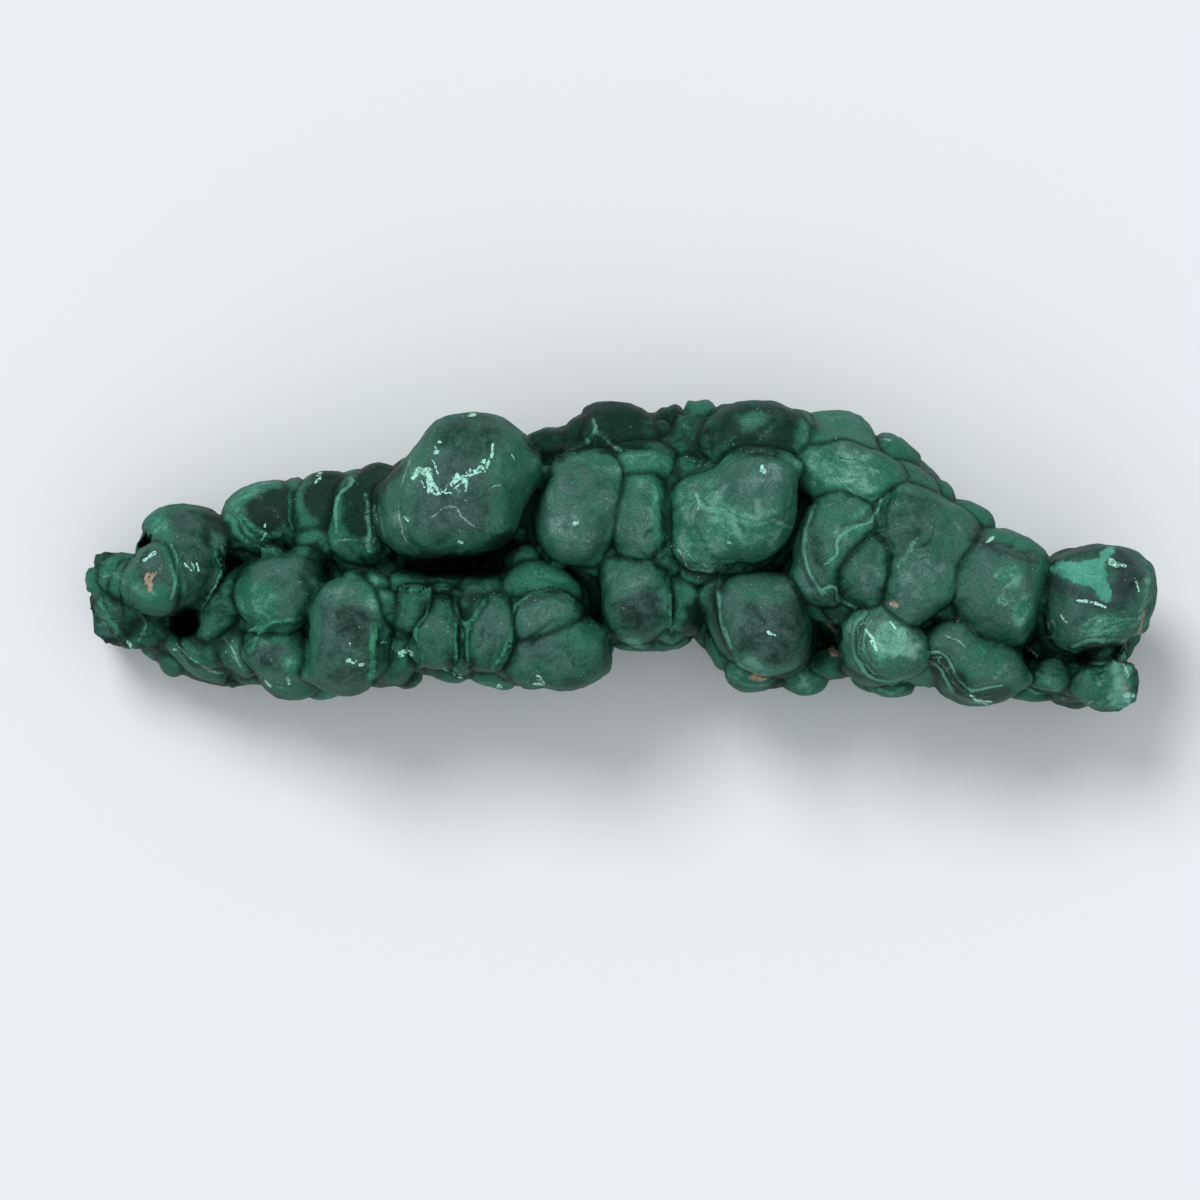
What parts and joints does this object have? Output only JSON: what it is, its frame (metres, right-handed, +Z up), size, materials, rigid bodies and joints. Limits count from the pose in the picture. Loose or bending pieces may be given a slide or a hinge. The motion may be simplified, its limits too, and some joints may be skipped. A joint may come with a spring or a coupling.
{
  "type": "malachite specimen",
  "caption": "Long loose crust of botryoidal malachite: crowded rounded lumps of several sizes on a low ridge, lying on its flat broken back.",
  "frame": {"origin": "on the flat broken face that the stone rests on, in the middle of its length and width", "axes": "+X along the stone from its ragged thin end to its blunt end, +Y across it towards the side with the tallest lump, +Z up"},
  "size_m": [0.1498, 0.0434, 0.043],
  "materials": {
    "malachite": "dark velvety green, finely granular, with paler green in the grooves"
  },
  "bodies": {
    "root": {"malachite_stone": "malachite"}
  },
  "joints": []
}
